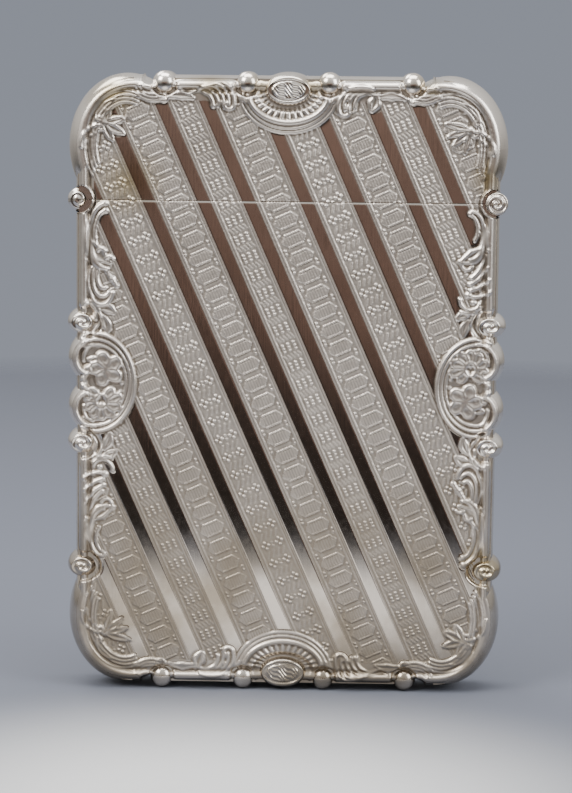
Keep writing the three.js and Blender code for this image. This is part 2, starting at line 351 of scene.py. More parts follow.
def lobe_lines(relief, side):
    """Nested lines that follow a corner lobe, dip under its notch and end at the bead."""
    cx, cu, rx, ru, _ = LOBE
    for i in range(4):
        inset = 2.75 + 0.55 * i
        around = arc(cx, cu, rx - inset, ru - inset, 110, -34 + 3 * i)
        dip = arc(20.4, 47.0, 2.3 + 0.5 * i, 2.5 + 0.5 * i, 322, 246)
        for path in (around, dip):
            relief.draw(path * (side, 1), (0.3, 0.4, 0.3), 0.34 + 0.02 * i)


def sprig(relief, x, u, leaves):
    """Leaves that stand a little clear of the bead they spring from."""
    for heading, length, width in leaves:
        way = math.radians(heading)
        root = (x + 0.65 * math.cos(way), u + 0.65 * math.sin(way))
        relief.draw(blade(*root, heading, length, 10), (0.45, width, 0.8 * width, 0.25), 0.4, "spoon")
    relief.bead(x, u, 0.44)


def corner_left(relief):
    """Top left: nested lines round the lobe, two volutes and a sprig of four leaves."""
    lobe_lines(relief, -1)
    relief.draw(arc(-26.2, 40.7, 2.9, 2.5, 85, 190, 1, 0.5), (0.25, 0.4, 0.4, 0.3), 0.44)
    relief.draw(arc(-28.6, 36.4, 2.7, 2.9, 190, 85, 1, 0.5), (0.25, 0.4, 0.4, 0.3), 0.44)
    relief.draw(arc(-28.6, 36.0, 2.0, 2.2, 190, 110), (0.25, 0.3), 0.32)
    sprig(relief, -27.9, 39.7, ((66, 1.7, 0.8), (8, 2.5, 1.0), (-32, 2.8, 1.1), (-68, 2.4, 0.95)))


def corner_right(relief):
    """Top right: the same idea, with longer leaves that sweep inwards."""
    lobe_lines(relief, 1)
    relief.draw(arc(26.0, 40.5, 2.9, 2.5, 95, -10, 1, 0.5), (0.25, 0.4, 0.4, 0.3), 0.44)
    relief.draw(arc(28.5, 35.9, 2.6, 2.9, -10, 95, 1, 0.5), (0.25, 0.4, 0.4, 0.3), 0.44)
    relief.draw(arc(28.5, 35.5, 1.9, 2.2, -10, 70), (0.25, 0.3), 0.32)
    sprig(relief, 27.7, 39.0, ((162, 3.4, 0.9), (190, 3.0, 0.8), (216, 3.0, 0.85), (250, 3.0, 0.8)))


def top_strips(relief):
    """Between the beads: nested quarter scrolls that end in a curl, with a leaf and a bud behind them."""
    for i in range(5):
        curl = 0.85 if i == 4 else 0
        relief.draw(arc(-13.6 + 0.8 * i, 42.5 + 0.1 * i, 2.2, 2.1 + 0.25 * i, 125, -8, 1, curl),
                    (0.35, 0.52, 0.35), 0.36 + 0.02 * i)
    for i in range(4):
        curl = 0.85 if i == 3 else 0
        relief.draw(arc(11.9 - 0.3 * i, 42.4, 1.9 + 0.5 * i, 2.1 + 0.32 * i, 55, 186 + 4 * i, 1, curl),
                    (0.35, 0.52, 0.35), 0.36 + 0.02 * i)
    relief.draw(blade(-17.9, 43.8, 12, 3.6, -34), (0.5, 1.1, 0.3), 0.36, "spoon")
    relief.draw(blade(13.5, 43.8, 18, 4.2, -40), (0.5, 1.0, 0.3), 0.36, "spoon")
    relief.draw(blade(13.2, 43.9, 262, 2.0, -20), (0.6, 1.4, 0.6), 0.38, "spoon")
    for x, u, radius in ((-16.4, 44.6, 0.36), (-11.3, 42.4, 0.3), (-10.2, 42.9, 0.28), (9.0, 42.3, 0.38),
                         (9.0, 43.5, 0.3), (13.5, 44.4, 0.34)):
        relief.bead(x, u, radius)
    for x in BEAD_XS:
        for side in (-1, 1):
            ring = arc(side * x, 43.7, 0.95, 0.95, 90 - side * 80, 90 - side * 380, 0.35)
            relief.draw(ring, (0.32, 0.3), 0.34)


def top_fan(relief):
    """Under the oval: a bright ring between two fine ones, round a fan of ribs."""
    relief.draw(arc(0, 44.4, 6.1, 4.5, 192, 348), (0.75, 0.75), 0.5)
    relief.draw(arc(0, 44.6, 6.85, 5.55, 184, 356), (0.32, 0.32), 0.38)
    relief.draw(arc(0, 44.6, 7.45, 6.15, 186, 354), (0.3, 0.3), 0.3)
    for heading in np.linspace(192, 348, 15):
        along = np.linspace(0.62, 0.92, 16)
        spoke = np.column_stack((5.7 * along * math.cos(math.radians(heading)),
                                 44.6 + 4.4 * along * math.sin(math.radians(heading))))
        relief.draw(spoke, (0.2, 0.42), 0.3)


MOTIFS = (hook_group, leaf_group, medallion, corner_left, corner_right, top_strips, top_fan)


# ---- textures of the bands --------------------------------------------------------------------------

def bar(v, p, start, end, half, height):
    """A round-topped bar in a band's cell, v across the band and p along it, repeated every pitch."""
    (v0, p0), (v1, p1) = start, end
    run = np.array([v1 - v0, p1 - p0])
    length = max(float(run @ run), 1e-9)
    best = np.full(v.shape, np.inf)
    for shift in (-PITCH, 0, PITCH):
        t = np.clip(((v - v0) * run[0] + (p + shift - p0) * run[1]) / length, 0, 1)
        best = np.minimum(best, np.hypot(v - v0 - t * run[0], p + shift - p0 - t * run[1]))
    return height * rounded(best / half)


def dot(v, p, at, radius, height):
    return bar(v, p, at, at, radius, height)


def hexagon(v, p):
    half, point, long = 1.15, 1.85, 1.9
    reach = half + (point - half) * (1 - np.abs(p - long / 2) / (long / 2))
    inside = smooth(0, 0.25, reach - np.abs(v)) * smooth(0.1, 0.35, p) * smooth(long, long - 0.3, p)
    marks = [inside * (0.1 + 0.03 * np.cos(v * 2 * math.pi / 0.42))]
    for row in (0.0, long):
        marks.append(bar(v, p, (-half, row), (half, row), 0.15, 0.19))
    marks.append(bar(v, p, (-half + 0.1, 2.45), (half - 0.1, 2.45), 0.34, 0.05))
    for side in (-1, 1):
        for row in (0.0, long):
            marks.append(bar(v, p, (side * half, row), (side * point, long / 2), 0.11, 0.11))
        for row in (2.15, 2.72):
            marks.append(dot(v, p, (side * 1.95, row), 0.2, 0.18))
    return np.maximum.reduce(marks)


def flame(v, p):
    marks = [dot(v, p, (column, row), 0.21, 0.18)
             for column in (-0.95, -0.05, 0.87) for row in (0.3, 0.82, 1.34)]
    for column in np.linspace(-1.15, 1.15, 5):
        marks.append(bar(v, p, (column - 0.2, 1.9), (column + 0.2, 2.7), 0.13, 0.08))
    return np.maximum.reduce(marks)


def rosette(v, p):
    marks = []
    for column, row in ((-1.1, 0.75), (1.1, 0.75)):
        for dv, dp in ((0.45, 0), (-0.45, 0), (0, 0.5), (0, -0.5)):
            marks.append(dot(v, p, (column + dv, row + dp), 0.25, 0.18))
    for row in (0.5, 1.1):
        marks.append(dot(v, p, (0, row), 0.18, 0.15))
    for column in (-1.2, -0.4, 0.4, 1.2):
        marks.append(bar(v, p, (column - 0.25, 2.7), (column + 0.25, 1.8), 0.14, 0.1))
    return np.maximum.reduce(marks)


TEXTURES = {"hexagon": hexagon, "flame": flame, "rosette": rosette}


def band_relief(x, u):
    """Heights of the diagonal bands over the panel, and where their ground is engraved, not polished."""
    across = x * math.cos(TILT) + u * math.sin(TILT) - FIRST_MIRROR
    along = x * math.sin(TILT) - u * math.cos(TILT)
    place = np.mod(across, PERIOD)
    height = np.zeros(x.shape)
    matte = np.zeros(x.shape)
    start = 0.0
    for name, width in BANDS:
        inside = (place >= start) & (place < start + width)
        v = place[inside] - start - width / 2
        rim = width / 2 - np.abs(v)
        texture = TEXTURE_RISE * TEXTURES[name](v, np.mod(along[inside], PITCH))
        lines = sum(0.14 * rounded((rim - MIRROR_HALF - step) / 0.13) for step in (0.1, 0.45))
        beyond = smooth(MIRROR_HALF - 0.1, MIRROR_HALF, rim)
        height[inside] = texture * smooth(MIRROR_HALF + 0.5, MIRROR_HALF + 0.6, rim) + lines - 0.1 * beyond
        matte[inside] = beyond
        start += width
    return height, matte


def mirror_lines(reach):
    """Where the mirror strips lie, out to a reach on both sides."""
    lines = []
    for turn in range(-3, 4):
        line = FIRST_MIRROR + turn * PERIOD
        for _, width in BANDS:
            lines.append(line)
            line += width
    return [line for line in lines if abs(line) < reach]


def plate_mask(x, u):
    """One on the panel that carries bands, nought under the edge, the fans and the medallions."""
    reach_x, reach_u = HALF_WIDTH + 1.1, HALF_HEIGHT - 0.4
    dx, du = np.abs(x) - reach_x + CORE_CORNER, np.abs(u) - reach_u + CORE_CORNER
    outside = np.hypot(np.maximum(dx, 0), np.maximum(du, 0))
    clear = smooth(4.0, 4.25, CORE_CORNER - outside - np.minimum(np.maximum(dx, du), 0))
    for cx, cu, rx, ru in BOSSES:
        near = np.hypot((np.abs(x) - cx) / rx, (np.abs(u) - cu) / ru)
        clear = clear * smooth(1.0, 1.05, near)
    return clear


def boss_ground(x, u):
    """One on the sunk ground inside the medallions and fans."""
    near = [np.hypot((np.abs(x) - cx) / rx, (np.abs(u) - cu) / ru) for cx, cu, rx, ru in BOSSES]
    return 1 - smooth(0.85, 1.0, np.minimum.reduce(near))


def soften(height):
    """Blends each height a little with those beside it."""
    for axis in (0, 1):
        height = (np.roll(height, 1, axis) + 2 * height + np.roll(height, -1, axis)) / 4
    return height


def stamped_face():
    """The whole face: bands, edge and ornament together, with how deep each point lies in its hollow."""
    reach = HALF_WIDTH + HALF_HEIGHT * math.tan(TILT)
    lines = mirror_lines(reach)
    columns = [np.linspace(a, b, round((b - a) / CELL), endpoint=False) for a, b in zip(lines, lines[1:])]
    parts = ((-HALF_HEIGHT, PARTING - PARTING_GAP / 2), (PARTING + PARTING_GAP / 2, HALF_HEIGHT))
    rows = [np.linspace(a, b, round((b - a) / CELL)) for a, b in parts]
    relief = Relief(np.concatenate(columns), np.concatenate(rows))
    for motif in MOTIFS:
        motif(relief)
    relief.raised = soften(relief.raised)
    x, u = relief.x, relief.u
    depth = edge_depth(x, u)
    mask = plate_mask(x, u) * (1 - relief.moat)
    boss = boss_ground(x, u)
    filled = boss * smooth(1.2, 1.6, core_depth(x, u))
    edge = edge_height(np.minimum(depth, 1.84 + mask), filled)
    bands, matte = band_relief(x, u)
    ground = np.where(depth < 1.85, edge, BANK_H + (PANEL_H + 0.08 - BANK_H) * mask + bands * mask)
    height = ground - 0.07 * relief.moat * (relief.raised == 0) * (depth > 1.0) + relief.raised
    height = height - neck(x, u) - TUCK * (depth < STRIP_END)
    below_parting = PARTING - PARTING_GAP / 2 - u
    height = height - PARTING_BEVEL * (1 - smooth(0, 0.2, below_parting)) * (below_parting > -PARTING_GAP / 2)
    groove = smooth(1.1, 1.35, depth) * (1 - smooth(1.6, 1.85, depth)) * (1 - filled)
    sunk = np.maximum(0.42 * boss, 0.75 * groove) * (relief.raised < 0.1)
    relief.hollow = np.maximum(hollowness(height), sunk)
    relief.height = height
    relief.matte = matte * mask
    relief.polish = (1 - matte) * mask
    relief.depth = depth
    relief.body_rows = len(rows[0])
    return relief


def hollowness(height):
    """How far each point lies below the average of its surroundings, from nought to one."""
    around = height.copy()
    size = 3
    for axis in (0, 1):
        padded = np.concatenate([np.take(around, [0], axis)] * (size + 1) + [around]
                                + [np.take(around, [-1], axis)] * size, axis)
        total = np.cumsum(padded, axis)
        ahead = np.take(total, range(2 * size + 1, total.shape[axis]), axis)
        behind = np.take(total, range(total.shape[axis] - 2 * size - 1), axis)
        around = (ahead - behind) / (2 * size + 1)
    return np.clip((around - height) / 0.09, 0, 1)


# ---- meshes ---------------------------------------------------------------------------------------

def grid_faces(rows, columns, closed=False):
    i, j = np.meshgrid(np.arange(rows - 1), np.arange(columns if closed else columns - 1), indexing="ij")
    after = (j + 1) % columns
    here, below = i * columns, (i + 1) * columns
    quads = np.stack((here + j, here + after, below + after, below + j), -1)
    return quads.reshape(-1, 4)


def join(parts):
    """Several (points, faces) as one."""
    points, faces, count = [], [], 0
    for part_points, part_faces in parts:
        points.append(part_points)
        faces.append(part_faces + count)
        count += len(part_points)
    return np.vstack(points), np.vstack(faces)


SURFACE_FIELDS = ("hollow", "matte", "polish")


def make_mesh(name, points, faces, material, fields=None, chart=None):
    """A mesh object from points in millimetres and four-cornered faces, without the points left over."""
    used, faces = np.unique(faces, return_inverse=True)
    faces = faces.reshape(-1, 4)
    mesh = bpy.data.meshes.new(name)
    mesh.vertices.add(len(used))
    mesh.vertices.foreach_set("co", (points[used] * MM).astype(np.float32).ravel())
    mesh.loops.add(faces.size)
    mesh.loops.foreach_set("vertex_index", faces.astype(np.int32).ravel())
    mesh.polygons.add(len(faces))
    mesh.polygons.foreach_set("loop_start", np.arange(0, faces.size, 4, dtype=np.int32))
    mesh.update(calc_edges=True)
    mesh.polygons.foreach_set("use_smooth", np.ones(len(faces), bool))
    for field in SURFACE_FIELDS:
        values = fields[field][used] if fields else np.zeros(len(used))
        mesh.attributes.new(field, "FLOAT", "POINT").data.foreach_set("value", values.astype(np.float32))
    if chart is not None:
        layer = mesh.uv_layers.new(name="OFBake")
        layer.data.foreach_set("uv", chart[used][faces.ravel()].astype(np.float32).ravel())
    mesh.validate()
    mesh.materials.append(material)
    piece = bpy.data.objects.new(name, mesh)
    bpy.context.scene.collection.objects.link(piece)
    return piece


def stand(x, u, h, side):
    """Face coordinates to the case's own: the back is the front turned half round the vertical axis."""
    turn = 1 if side == "front" else -1
    return np.column_stack((turn * np.ravel(x), -turn * np.ravel(h), MID + np.ravel(u)))


def add_piece(name, mesh, body, nodes, material, slot="stamped_silver", **extra):
    piece = make_mesh(name, *mesh, material, **extra)
    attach(piece, body)
    if nodes:
        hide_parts(*nodes)
    return piece


def skin_pieces(relief, material):
    """The stamped skins: three strips of the body and one of the lid, on both faces."""
    chart_size = 2.2 * HALF_HEIGHT
    cuts = [FIRST_MIRROR - BANDS[3][1] - BANDS[2][1], FIRST_MIRROR + BANDS[0][1]]
    at = [0, *np.searchsorted(relief.columns, np.array(cuts) - CELL / 4), len(relief.columns)]
    clear = relief.depth > STRIP_END - OVERLAP
    strips = [("lid", "lid", slice(relief.body_rows, None), slice(0, None))]
    for name, j0, j1 in zip(("left", "middle", "right"), at, at[1:]):
        strips.append((f"body_{name}", "case_body", slice(0, relief.body_rows), slice(j0, j1 + 1)))
    for name, body, rows, columns in strips:
        x, u, h = (field[rows, columns] for field in (relief.x, relief.u, relief.height))
        faces = grid_faces(*x.shape)
        faces = faces[clear[rows, columns].ravel()[faces].all(axis=1)]
        chart = np.column_stack((x.ravel(), u.ravel())) / chart_size + 0.5
        fields = {field: getattr(relief, field)[rows, columns].ravel() for field in SURFACE_FIELDS}
        node = "lid" if body == "lid" else "body"
        for side in SIDES:
            add_piece(f"{name}_{side}_skin", (stand(x, u, h, side), faces), body, [f"{node}_{side}_plate"],
                      material, fields=fields, chart=chart)


def core_path(body):
    """The plain case's outline on one side of the parting, with its outward normals."""
    corner = CORE_CORNER
    cx, cu = HALF_WIDTH - corner, HALF_PLAIN - corner
    quarter = np.linspace(0, math.pi / 2, 24)
    end = 1 if body == "lid" else -1
    start = PARTING + end * PARTING_GAP / 2
    points, normals = [], []
    for u in np.linspace(start, end * cu, 90, endpoint=False):
        points.append((HALF_WIDTH, u))
        normals.append((1, 0))
    for angle in quarter:
        normals.append((math.cos(angle), end * math.sin(angle)))
        points.append((cx + corner * normals[-1][0], end * cu + corner * normals[-1][1]))
    for x in np.linspace(cx, 0, 40)[1:]:
        points.append((x, end * HALF_PLAIN))
        normals.append((0, end))
    mirrored = [(-x, u) for x, u in reversed(points[:-1])], [(-x, u) for x, u in reversed(normals[:-1])]
    return np.array(points + mirrored[0]), np.array(normals + mirrored[1]), -end


def ellipse_path(cx, cu, rx, ru):
    angle = np.linspace(0, 2 * math.pi, 120)
    points = np.column_stack((cx + rx * np.cos(angle), cu + ru * np.sin(angle)))
    normals = np.column_stack((np.cos(angle) / rx, np.sin(angle) / ru))
    return points, normals / np.linalg.norm(normals, axis=1)[:, None], -1


def notch_path(cx, cu, radius, body=None):
    """Round a notch, with the normals towards its middle; at the parting only one body's half of it."""
    slack = math.asin(PARTING_GAP / 2 / radius)
    spans = {None: (0, 2 * math.pi), "lid": (slack, math.pi - slack),
             "case_body": (math.pi + slack, 2 * math.pi - slack)}
    angle = np.linspace(*spans[body], 60)
    out = np.column_stack((np.cos(angle), np.sin(angle)))
    return out * radius + (cx, cu), -out, 1


def edge_strip(path, rounding):
    """The half-round edge along a path, kept only where no other part of the outline lies over it."""
    points, normals, turn = path
    lean = np.linspace(0, math.acos(1 - STRIP_END), 12)
    inward = rounding * (1 - np.cos(lean))
    x = points[:, 0][:, None] - normals[:, 0][:, None] * inward
    u = points[:, 1][:, None] - normals[:, 1][:, None] * inward
    h = np.maximum(CREST * np.sin(lean) - neck(x, u), 0)
    excess = (np.broadcast_to(inward / rounding, x.shape) - edge_depth(x, u)).ravel()
    faces = grid_faces(*x.shape)[:, ::-turn]
    faces = faces[(np.abs(excess[faces]).min(axis=1) < 0.04) & (excess[faces].max(axis=1) < 0.15)]
    return x, u, h, faces


def collar(cx, cu, radius, body):
    """The sunk ring round one half of the hinge or the thumb piece, which it meets underneath."""
    path, out, _ = notch_path(cx, cu, radius, body)
    across = np.linspace(-0.6 if cx < 0 else -0.08, 0.3, 5)
    x = path[:, 0][:, None] - out[:, 0][:, None] * across
    u = path[:, 1][:, None] - out[:, 1][:, None] * across
    faces = grid_faces(*x.shape)[:, ::-1]
    faces = faces[(core_depth(x, u).ravel()[faces] > 0.7).all(axis=1)]
    return x, u, np.full(x.shape, COLLAR_H), faces


def dome(cx, cu, rx, ru, profile, detail=None):
    """A raised boss: rings from its rim, standing on the middle plane, to its crown."""
    angle = np.linspace(0, 2 * math.pi, 64, endpoint=False)
    near, height = profile
    x = cx + rx * near[:, None] * np.cos(angle)
    u = cu + ru * near[:, None] * np.sin(angle)
    h = np.broadcast_to(height[:, None], x.shape).copy()
    if detail is not None:
        h += detail(x - cx, u - cu)
    return x, u, h, grid_faces(*x.shape, closed=True)


def ball_profile(radius):
    lean = np.linspace(0, math.pi / 2, 16)
    near = np.concatenate(([1.0], np.cos(lean)))
    height = np.concatenate(([0.0], CREST - radius + radius * np.sin(lean)))
    near[-1] = 1e-3
    return near, height


def oval_profile():
    near = np.linspace(1, 0.001, 40)
    return near, CREST * rounded(1 - np.clip((1 - near) * 2.9, 0, 1))


def knob_profile():
    near = np.linspace(1, 0.001, 40)
    return near, CREST * rounded(1 - np.clip((1 - near) * KNOB[1] / KNOB[3], 0, 1))


def knob_spiral(x, u):
    """A spiral sunk into a knob, wound from its middle."""
    away = np.hypot(x / KNOB[1], u / KNOB[2])
    turn = away * 2.1 - np.arctan2(u, x) / (2 * math.pi)
    return 0.16 * (np.cos(turn * 2 * math.pi) - 1) * smooth(0.9, 0.72, away)


def oval_engraving(x, u):
    """An inner oval, sunk a little and crossed by wavy lines."""
    near = np.hypot(x / 2.75, u / 1.5)
    waves = 0.07 * np.sin((x * 0.8 + u + 0.25 * np.sin(x * 3)) * 2 * math.pi / 0.7)
    return -0.16 * rounded((near - 1) / 0.14) + waves * (near < 0.9)


def edge_pieces(material):
    """Half-round edges with their beads, ovals and knobs, one piece for each body and face."""
    for body, node in (("case_body", "body"), ("lid", "lid")):
        end = 1 if body == "lid" else -1
        parts = [edge_strip(core_path(body), EDGE_ROUND)]
        ball = ball_profile(BEAD_RADIUS)
        for cx, cu, radius in AXIS_NOTCHES:
            parts.append(edge_strip(notch_path(cx, cu, radius, body), AXIS_ROUND))
            parts.append(collar(cx, cu, radius, body))
        for side in (-1, 1):
            cx, cu, radius = CORNER_NOTCH
            parts.append(edge_strip(notch_path(side * cx, end * cu, radius), NOTCH_ROUND))
            parts.append(edge_strip(ellipse_path(side * LOBE[0], end * LOBE[1], *LOBE[2:4]), LOBE[4]))
            parts += [dome(side * x, end * (HALF_HEIGHT - BEAD_RADIUS), BEAD_RADIUS, BEAD_RADIUS, ball)
                      for x in BEAD_XS]
        parts.append(dome(0, end * (HALF_HEIGHT - OVAL[1]), *OVAL, oval_profile(), oval_engraving))
        if body == "case_body":
            for side in (-1, 1):
                parts += [dome(side * KNOB[0], u, *KNOB[1:3], knob_profile(), knob_spiral) for u in KNOB_US]
                for half in (-1, 1):
                    path = ellipse_path(side * MEDALLION[0], half * MEDALLION[1], *MEDALLION[2:4])
                    parts.append(edge_strip(path, MEDALLION[4]))
        for side in SIDES:
            mesh = join([(stand(x, u, h, side), faces) for x, u, h, faces in parts])
            add_piece(f"{node}_{side}_edge", mesh, body, [f"{node}_{side}_plate"], material)


def inside_notches(path):
    """The inner wall drawn in wherever a notch would otherwise lay it bare."""
    x, u = path[:, 0].copy(), path[:, 1].copy()
    for cx, cu, radius in AXIS_NOTCHES:
        reach = radius + 0.15
        beside = (np.abs(u - cu) < reach) & (np.sign(x) == np.sign(cx))
        x[beside] = np.sign(cx) * np.minimum(np.abs(x[beside]), abs(cx) - reach)
    cx, cu, radius = CORNER_NOTCH
    reach = radius + NOTCH_ROUND
    below = np.abs(np.abs(x) - cx) < reach
    u[below] = np.sign(u[below]) * np.minimum(np.abs(u[below]), cu - reach)
    return np.column_stack((x, u))


def inner_walls(relief, material):
    """What shows inside a plate: the sheet's back, its side walls and the lip along the parting."""
    for body, node in (("case_body", "body"), ("lid", "lid")):
        points, normals, turn = core_path(body)
        inner = inside_notches(points - SHEET * normals)
        faces = grid_faces(2, len(inner))[:, ::turn]
        wall = (np.tile(inner[:, 0], 2), np.tile(inner[:, 1], 2), np.repeat((0.0, WALL_H), len(inner)), faces)
        start = points[0, 1]
        beside_notch = np.abs(inner[:, 0]) > LIP_HALF + SHEET
        below = np.where(beside_notch, PARTING - turn * (AXIS_NOTCHES[0][2] + AXIS_ROUND), start)
        lid = np.column_stack((np.tile(inner[:, 0], 2), np.concatenate((below, inner[:, 1]))))
        back = (lid[:, 0], lid[:, 1], np.full(len(lid), WALL_H), faces[:, ::-1])
        row = relief.body_rows - 1 if body == "case_body" else relief.body_rows
        lip_x = np.linspace(-1, 1, LIP_POINTS) * LIP_HALF
        skin = np.interp(lip_x, relief.x[row], relief.height[row])
        lip_h = np.concatenate((np.full(LIP_POINTS, WALL_H), skin))
        lip_faces = grid_faces(2, LIP_POINTS)[:, ::-turn]
        lip = (np.tile(lip_x, 2), np.full(2 * LIP_POINTS, start), lip_h, lip_faces)
        for side in SIDES:
            mesh = join([(stand(x, u, h, side), faces) for x, u, h, faces in (wall, back, lip)])
            add_piece(f"{node}_{side}_lining", mesh, body, [f"{node}_{side}_plate"], material)


def scroll_cap(centre_z, sweep):
    """Half of the thumb barrel, with round ends; a spiral is raised on both ends."""
    low, high = THUMB_LOW, THUMB_HIGH
    radius = (high[0] - low[0]) / 2
    centre_x = (high[0] + low[0]) / 2
    lean = np.linspace(0.02, math.pi / 2, 14)
    rings = []
    for y, way in ((low[1], -1), (high[1], 1)):
        rings.append(np.column_stack((y - way * radius * (1 - np.cos(lean)), radius * np.sin(lean))))
    profile = np.vstack((rings[0], rings[1][::-1]))
    angle = np.linspace(*sweep, 49)
    ridge = np.mod(profile[:, 1][:, None] / 0.8 - angle / (2 * math.pi), 1)
    lift = 0.16 * np.cos(ridge * 2 * math.pi) * smooth(0.2, 0.5, profile[:, 1])[:, None]
    lift = lift * smooth(radius, radius - 0.3, profile[:, 1])[:, None]
    away = np.where(profile[:, 0] < (low[1] + high[1]) / 2, -1, 1)[:, None]
    x = centre_x + profile[:, 1][:, None] * np.cos(angle)
    z = centre_z + profile[:, 1][:, None] * np.sin(angle)
    y = profile[:, 0][:, None] + away * (lift - 0.12)
    points = np.column_stack((x.ravel(), y.ravel(), z.ravel()))
    return points, grid_faces(*x.shape)


def thumb_scrolls(material):
    """The thumb piece on the left edge: a scroll cut in two at the parting."""
    centre_z = MID + PARTING
    halves = (("lid", "lid", (0, math.pi), 1), ("body", "case_body", (math.pi, 2 * math.pi), -1))
    for name, body, sweep, gap in halves:
        points, faces = scroll_cap(centre_z + gap * PARTING_GAP / 2, sweep)
        add_piece(f"{name}_thumb_piece", (points, faces), body, [f"{name}_thumb_scroll"], material)


def hinge_caps(material):
    """A small scroll over each end of the hinge barrel."""
    radius = (BARREL_HIGH[0] - BARREL_LOW[0]) / 2
    centre = ((BARREL_HIGH[0] + BARREL_LOW[0]) / 2, PARTING)
    near = np.linspace(1, 0.01, 26)
    angle = np.linspace(0, 2 * math.pi, 72, endpoint=False)
    turn = near[:, None] * 2.0 - angle / (2 * math.pi)
    spiral = 0.16 * np.cos(turn * 2 * math.pi) * smooth(1, 0.8, near)[:, None]
    swell = CAP_RISE * rounded(near)[:, None] + spiral
    x = centre[0] + radius * near[:, None] * np.cos(angle)
    u = centre[1] + radius * near[:, None] * np.sin(angle)
    for side, way in (("front", 1), ("back", -1)):
        h = -BARREL_LOW[1] + swell
        points = np.column_stack((x.ravel(), -way * h.ravel(), MID + u.ravel()))
        faces = grid_faces(*x.shape, closed=True)[:, ::way]
        add_piece(f"hinge_cap_{side}", (points, faces), "lid", [], material, slot="hinge_silver")


# ---- finishes ---------------------------------------------------------------------------------------

def new_material(name):
    material = bpy.data.materials.new(name)
    material.use_nodes = True
    tree = material.node_tree
    return material, tree, tree.nodes["Principled BSDF"]


def noise(tree, coordinates, scale, detail=4.0):
    node = tree.nodes.new("ShaderNodeTexNoise")
    node.inputs["Scale"].default_value = scale
    node.inputs["Detail"].default_value = detail
    tree.links.new(coordinates, node.inputs["Vector"])
    return node.outputs["Fac"]


def ramp(tree, factor, stops, blend="LINEAR"):
    node = tree.nodes.new("ShaderNodeValToRGB")
    node.color_ramp.interpolation = blend
    elements = node.color_ramp.elements
    while len(elements) < len(stops):
        elements.new(0.5)
    for element, (position, colour) in zip(elements, stops):
        element.position = position
        element.color = (*colour, 1)
    tree.links.new(factor, node.inputs["Fac"])
    return node.outputs["Color"]


def mix(tree, factor, first, second):
    node = tree.nodes.new("ShaderNodeMix")
    node.data_type = "RGBA"
    tree.links.new(factor, node.inputs["Factor"])
    for socket, value in ((node.inputs["A"], first), (node.inputs["B"], second)):
        if isinstance(value, tuple):
            socket.default_value = (*value, 1)
        else:
            tree.links.new(value, socket)
    return node.outputs["Result"]


def maths(tree, operation, first, second, clamp=False):
    node = tree.nodes.new("ShaderNodeMath")
    node.operation = operation
    node.use_clamp = clamp
    for socket, value in zip(node.inputs, (first, second)):
        if isinstance(value, (int, float)):
            socket.default_value = value
        else:
            tree.links.new(value, socket)
    return node.outputs[0]


def product(tree, first, second, clamp=False):
    return maths(tree, "MULTIPLY", first, second, clamp)


def attribute(tree, name):
    node = tree.nodes.new("ShaderNodeAttribute")
    node.attribute_name = name
    return node.outputs["Fac"]


def map_range(tree, value, start, end, low=0.0, high=1.0):
    """Runs from low, where the value is start, to high, where it is end, and holds beyond them."""
    node = tree.nodes.new("ShaderNodeMapRange")
    for socket, setting in (("From Min", start), ("From Max", end), ("To Min", low), ("To Max", high)):
        node.inputs[socket].default_value = setting
    tree.links.new(value, node.inputs["Value"])
    return node.outputs["Result"]


def round_spot(tree, position, centre, reach):
    """One at a spot and nought beyond its reach, for stains on the silver, the table's painted pool of light
    and its rim; centre is in millimetres in the case's frame.
    """
    node = tree.nodes.new("ShaderNodeVectorMath")
    node.operation = "DISTANCE"
    tree.links.new(position, node.inputs[0])
    node.inputs[1].default_value = [value * MM for value in centre]
    near = maths(tree, "DIVIDE", node.outputs["Value"], reach * MM)
    return maths(tree, "SUBTRACT", 1.0, near, clamp=True)


STAINS = (((-24, -4.6, 78.5), 6), ((-27, -4.6, 92), 5), ((3.8, -4.6, 94), 3), ((-3.8, -4.6, 94), 3),
          ((21, -4.6, 94), 3), ((30.5, -4.6, 79.5), 3.5), ((31, -4.6, 20), 5), ((-12, -4.6, 94), 4))


# Tuned to the photo's darker, warmer lower third: a painted reflection that tints the lower part of the case
# in cloudy patches. Tuned to the photo's darker, warmer lower third, which may be reflection there and not
# tarnish
LOW_REFLECTION_TINT = (0.36, 0.305, 0.235)


